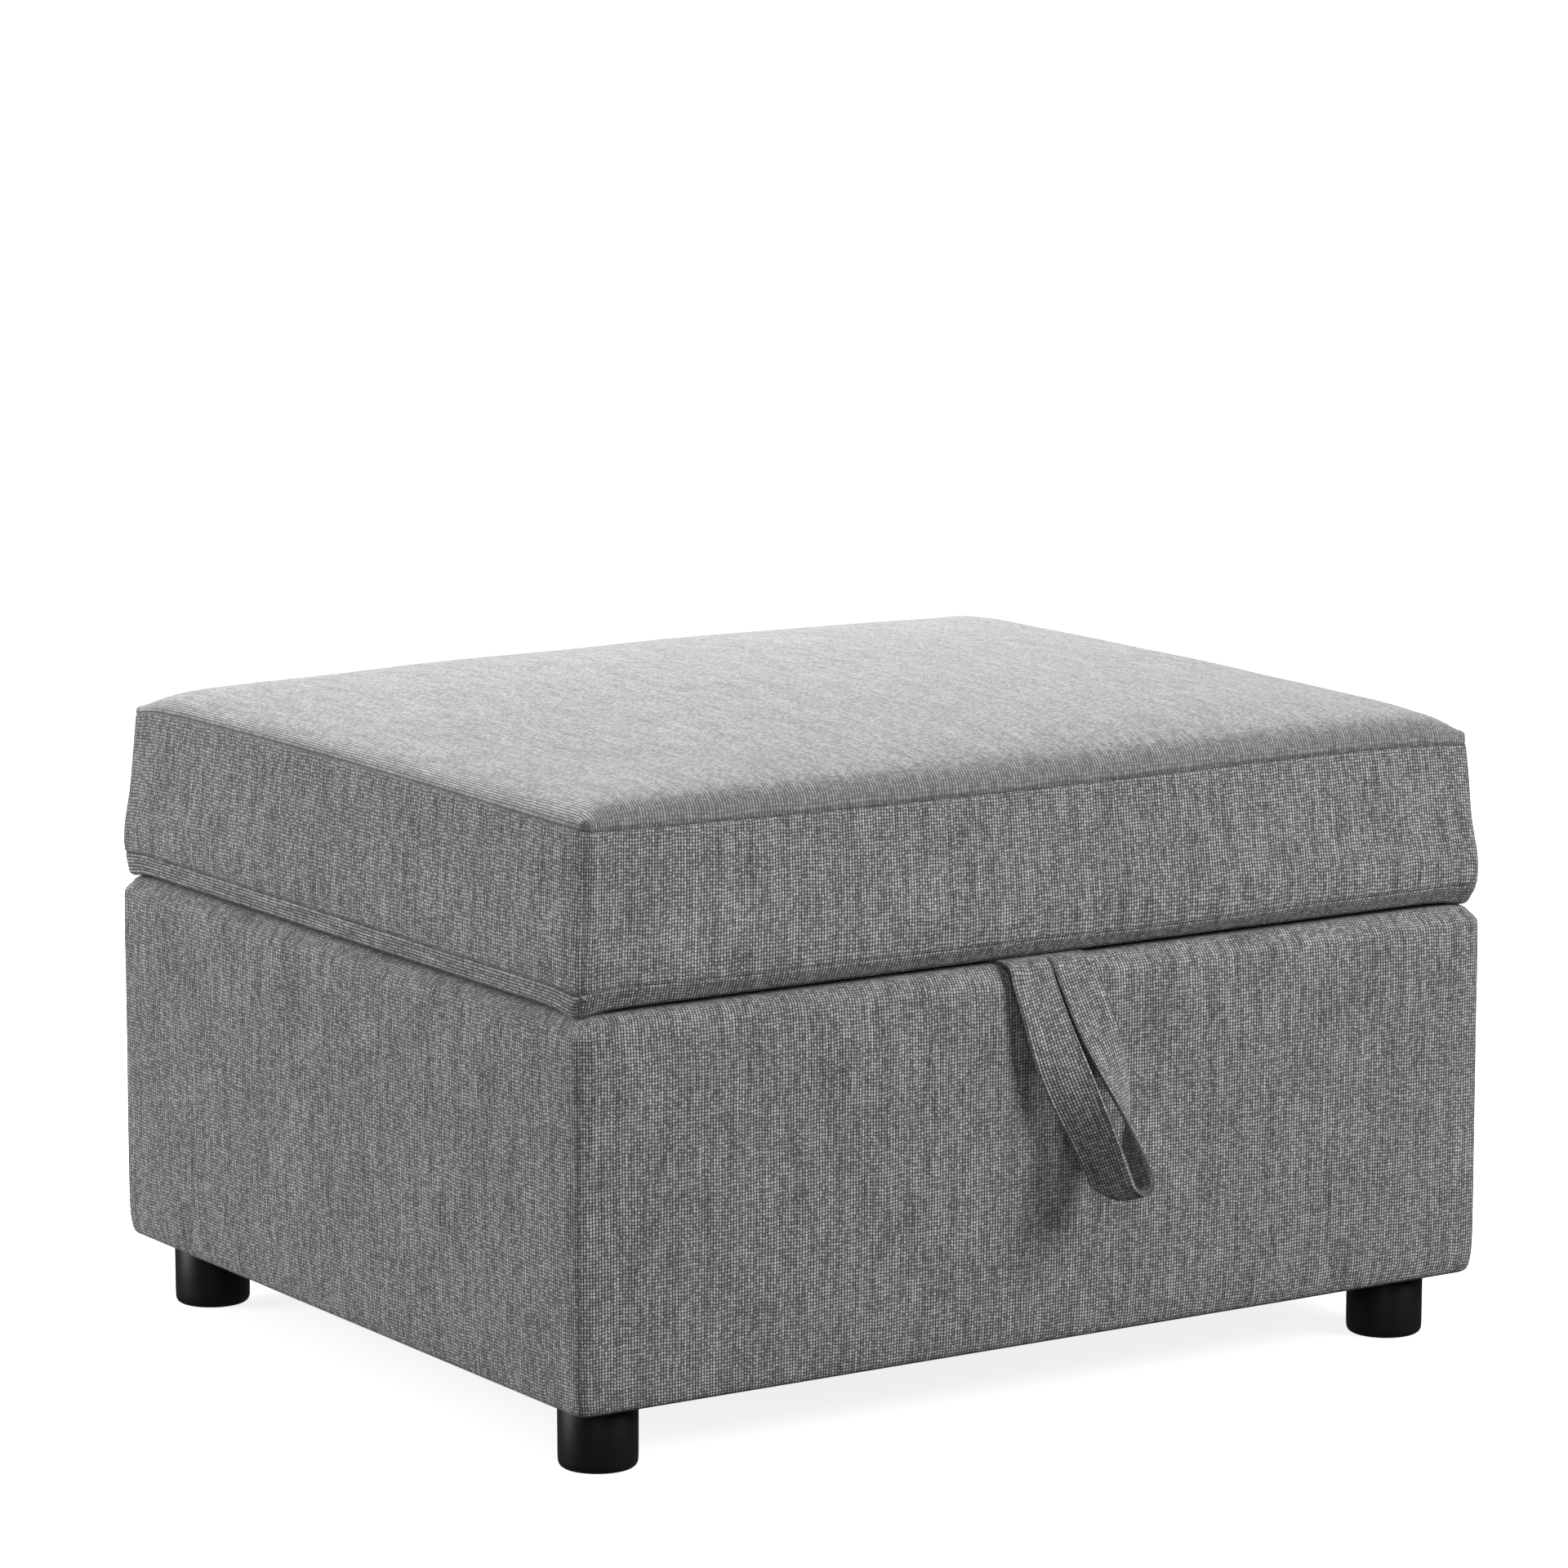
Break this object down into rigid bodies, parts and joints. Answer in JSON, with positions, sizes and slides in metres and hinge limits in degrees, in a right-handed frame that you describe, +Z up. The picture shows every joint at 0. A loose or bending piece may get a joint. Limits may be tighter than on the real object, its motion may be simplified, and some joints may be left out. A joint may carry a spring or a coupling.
{
  "type": "storage ottoman",
  "caption": "Square upholstered storage ottoman with a crowned cushion lid hinged at the back, a fabric pull strap in front and short round feet.",
  "frame": {"origin": "on the floor, under the middle of the whole object's bounding box, which the pull strap in front and the hinge knuckles behind lengthen", "axes": "+X to the ottoman's right side as seen from the front, +Y to the back where the lid is hinged, +Z up"},
  "size_m": [0.78, 0.7344, 0.493],
  "materials": {
    "upholstery_fabric": "matte",
    "cushion_foam": "matte",
    "plywood": "matte",
    "lining_cloth": "matte",
    "black_plastic": "satin",
    "zinc_plated_steel": "satin"
  },
  "bodies": {
    "base": {"front_panel": "plywood", "back_panel": "plywood", "left_panel": "plywood", "right_panel": "plywood", "floor_panel": "plywood", "corner_block_front_left": "plywood", "corner_block_front_right": "plywood", "corner_block_back_left": "plywood", "corner_block_back_right": "plywood", "foot_front_left": "black_plastic", "foot_stud_front_left": "zinc_plated_steel", "foot_front_right": "black_plastic", "foot_stud_front_right": "zinc_plated_steel", "foot_back_left": "black_plastic", "foot_stud_back_left": "zinc_plated_steel", "foot_back_right": "black_plastic", "foot_stud_back_right": "zinc_plated_steel", "base_padding_front": "cushion_foam", "base_cover_front": "upholstery_fabric", "base_padding_back": "cushion_foam", "base_cover_back": "upholstery_fabric", "base_padding_left": "cushion_foam", "base_cover_left": "upholstery_fabric", "base_padding_right": "cushion_foam", "base_cover_right": "upholstery_fabric", "storage_lining": "lining_cloth", "floor_lining": "lining_cloth", "dust_cover": "lining_cloth", "hinge_base_leaf_left": "zinc_plated_steel", "hinge_pin_left": "zinc_plated_steel", "stay_base_bracket_left": "zinc_plated_steel", "hinge_base_screw_left_outer": "zinc_plated_steel", "hinge_base_screw_left_inner": "zinc_plated_steel", "hinge_base_leaf_right": "zinc_plated_steel", "hinge_pin_right": "zinc_plated_steel", "stay_base_bracket_right": "zinc_plated_steel", "hinge_base_screw_right_outer": "zinc_plated_steel", "hinge_base_screw_right_inner": "zinc_plated_steel"},
    "lid": {"lid_board": "plywood", "lid_foam": "cushion_foam", "lid_top_cover": "upholstery_fabric", "lid_band": "upholstery_fabric", "lid_lining": "lining_cloth", "pull_strap_tab": "upholstery_fabric", "lid_boxing_front": "upholstery_fabric", "lid_boxing_back": "upholstery_fabric", "lid_boxing_left": "upholstery_fabric", "lid_boxing_right": "upholstery_fabric", "hinge_lid_leaf_left": "zinc_plated_steel", "hinge_lid_leaf_right": "zinc_plated_steel", "stay_lid_bracket_left": "zinc_plated_steel", "stay_lid_bracket_right": "zinc_plated_steel", "hinge_lid_screw_left_outer": "zinc_plated_steel", "hinge_lid_screw_left_inner": "zinc_plated_steel", "hinge_lid_screw_right_outer": "zinc_plated_steel", "hinge_lid_screw_right_inner": "zinc_plated_steel"},
    "stay_left": {"stay_arm_left": "zinc_plated_steel"},
    "stay_right": {"stay_arm_right": "zinc_plated_steel"},
    "pull_strap": {"pull_strap": "upholstery_fabric"}
  },
  "joints": [
    {"name": "lid_hinge", "type": "hinge", "parent": "base", "child": "lid", "pos_m": [0, 0.36425, 0.329], "axis": [-1, 0, 0], "range_deg": [0, 80]},
    {"name": "stay_pivot_left", "type": "hinge", "parent": "lid", "child": "stay_left", "pos_m": [-0.355, 0.25491, 0.317], "axis": [1, 0, 0], "range_deg": [0, 40]},
    {"name": "stay_pivot_right", "type": "hinge", "parent": "lid", "child": "stay_right", "pos_m": [0.355, 0.25491, 0.317], "axis": [1, 0, 0], "range_deg": [0, 40]},
    {"name": "strap_swing", "type": "hinge", "parent": "lid", "child": "pull_strap", "pos_m": [0, -0.29925, 0.328], "axis": [-1, 0, 0], "range_deg": [-5, 95]}
  ],
  "couplings": [
    {"joint": "stay_pivot_left", "follows": "lid_hinge", "ratio": 0.5},
    {"joint": "stay_pivot_right", "follows": "lid_hinge", "ratio": 0.5}
  ]
}
